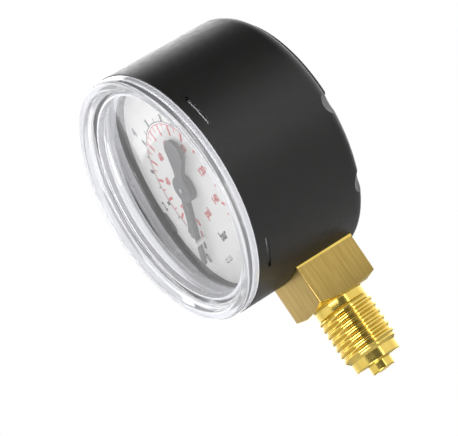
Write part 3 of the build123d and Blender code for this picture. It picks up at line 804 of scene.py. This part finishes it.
def area_light(name, azimuth, elevation, distance, size, power):
    """A white soft box that faces the gauge."""
    data = bpy.data.lights.new(name, "AREA")
    data.shape = "RECTANGLE"
    data.size, data.size_y = size
    data.energy = power
    lamp = bpy.data.objects.new(name, data)
    turn = Matrix.Rotation(radians(azimuth), 4, "Z") @ Matrix.Rotation(pi / 2 - radians(elevation), 4, "X")
    centre = Matrix.Translation(Vector(CAMERA_TARGET) * MM)
    lamp.matrix_world = centre @ turn @ Matrix.Translation((0, 0, distance))
    bpy.context.collection.objects.link(lamp)


def lights():
    area_light("front_soft_box", -46, 36, LAMP_DISTANCE, (0.7, 0.5), 2.9)
    area_light("front_fill", 40, -28, LAMP_DISTANCE, (0.6, 0.6), 6.0)
    area_light("side_strip", 100, 4, LAMP_DISTANCE, (0.07, 0.9), 0.6)
    area_light("rim_light", -119, 32, RIM_LAMP_DISTANCE, (0.2, 0.25), 0.4)


def world():
    """White all round, with a brighter sweep behind, a dark ceiling and a dark room in front."""
    scene_world = bpy.data.worlds.new("studio")
    bpy.context.scene.world = scene_world
    scene_world.use_nodes = True
    nodes, links = scene_world.node_tree.nodes, scene_world.node_tree.links

    def math(operation, first, second):
        node = nodes.new("ShaderNodeMath")
        node.operation = operation
        links.new(first, node.inputs[0])
        links.new(second, node.inputs[1])
        return node.outputs["Value"]

    def shade(direction, edge, level):
        """1 away from a direction, changing to another level around it."""
        facing = nodes.new("ShaderNodeVectorMath")
        facing.operation = "DOT_PRODUCT"
        facing.inputs[1].default_value = direction
        links.new(nodes["Texture Coordinate"].outputs["Generated"], facing.inputs[0])
        fade = nodes.new("ShaderNodeMapRange")
        for socket, number in zip(("From Min", "From Max", "To Min", "To Max"), (*edge, 1, level)):
            fade.inputs[socket].default_value = number
        links.new(facing.outputs["Value"], fade.inputs["Value"])
        return fade.outputs["Result"]

    nodes.new("ShaderNodeTexCoord")
    turn = radians(DARK_ROOM_AZIMUTH)
    room = shade((sin(turn), -cos(turn), 0), DARK_ROOM_EDGE, DARK_ROOM_GLOW)
    ceiling = shade((0, 0, 1), DARK_CEILING_EDGE, DARK_CEILING_GLOW)
    turn = radians(CAMERA_AZIMUTH)
    sweep = shade((-sin(turn), cos(turn), 0), SWEEP_EDGE, SWEEP_GLOW)
    mirrored = shade((-sin(turn), -cos(turn), 0), MIRRORED_EDGE, MIRRORED_GLOW)
    path = nodes.new("ShaderNodeLightPath")
    straight = math("MAXIMUM", path.outputs["Is Camera Ray"], path.outputs["Is Transmission Ray"])
    background = nodes["Background"]
    background.inputs["Color"].default_value = (1, 1, 1, 1)
    glow = math("MULTIPLY", math("MULTIPLY", room, ceiling), math("MULTIPLY", sweep, mirrored))
    seen = nodes.new("ShaderNodeMix")
    links.new(straight, seen.inputs["Factor"])
    links.new(glow, seen.inputs["A"])
    seen.inputs["B"].default_value = 1
    links.new(seen.outputs["Result"], background.inputs["Strength"])


def floor():
    mesh = bpy.data.meshes.new("floor")
    bm = bmesh.new()
    bmesh.ops.create_circle(bm, cap_ends=True, segments=96, radius=FLOOR_RADIUS)
    bmesh.ops.translate(bm, verts=bm.verts, vec=(0, 0, FLOOR_Z))
    bm.to_mesh(mesh)
    bm.free()
    s = Surface("pale_floor", Specular_IOR_Level=0.2)
    s.drive("Base Color", s.tint(s.noise(0.02, 2), (0.86, 0.86, 0.86), (0.9, 0.9, 0.9)))
    s.drive("Roughness", s.ramp(s.noise(0.05, 2), 0.75, 0.9))
    new_object("floor", mesh, [s.material])


def camera():
    data = bpy.data.cameras.new("camera")
    data.lens = CAMERA_LENS
    data.sensor_width = SENSOR_WIDTH
    data.clip_end = 20
    holder = bpy.data.objects.new("camera", data)
    around = Matrix.Rotation(radians(CAMERA_AZIMUTH), 4, "Z")
    tilt = Matrix.Rotation(pi / 2 - radians(CAMERA_ELEVATION), 4, "X")
    roll = Matrix.Rotation(-radians(CAMERA_ROLL), 4, "Z")
    target = Matrix.Translation(Vector(CAMERA_TARGET) * MM)
    holder.matrix_world = target @ around @ tilt @ Matrix.Translation((0, 0, CAMERA_DISTANCE * MM)) @ roll
    bpy.context.collection.objects.link(holder)
    bpy.context.scene.camera = holder


# ---------------------------------------------------------------- the gauge


def dress_cad_nodes():
    brass = metal("rolled_brass", (0.70, 0.52, 0.22), (0.80, 0.62, 0.30), (0.22, 0.36), (1, 1, 18), 0.006)
    strip = metal("spring_strip", (0.58, 0.36, 0.18), (0.68, 0.45, 0.25), (0.18, 0.3), (1, 12, 1), 0.003)
    steel = metal("turned_steel", (0.55, 0.55, 0.56), (0.66, 0.66, 0.67), (0.15, 0.28), (8, 0.5, 8), 0.004)
    by_slot = {
        "case_plastic": case_plastic(),
        "window_plastic": window_plastic(),
        "dial_plastic": dial_plastic(),
        "pointer_plastic": pointer_plastic(),
        "stem_brass": lathe_brass(),
        "movement_brass": brass,
        "tube_bronze": tube_bronze(),
        "spring_bronze": strip,
        "steel": steel,
    }
    for part in frame["record"]["subparts"]:
        set_materials(part["node"], by_slot[part["material_slot"]])


bpy.context.scene.view_settings.view_transform = "Standard"
dress_cad_nodes()
stem()
window()
bourdon_tube()
bar_scale()
psi_scale()
floor()
world()
lights()
camera()
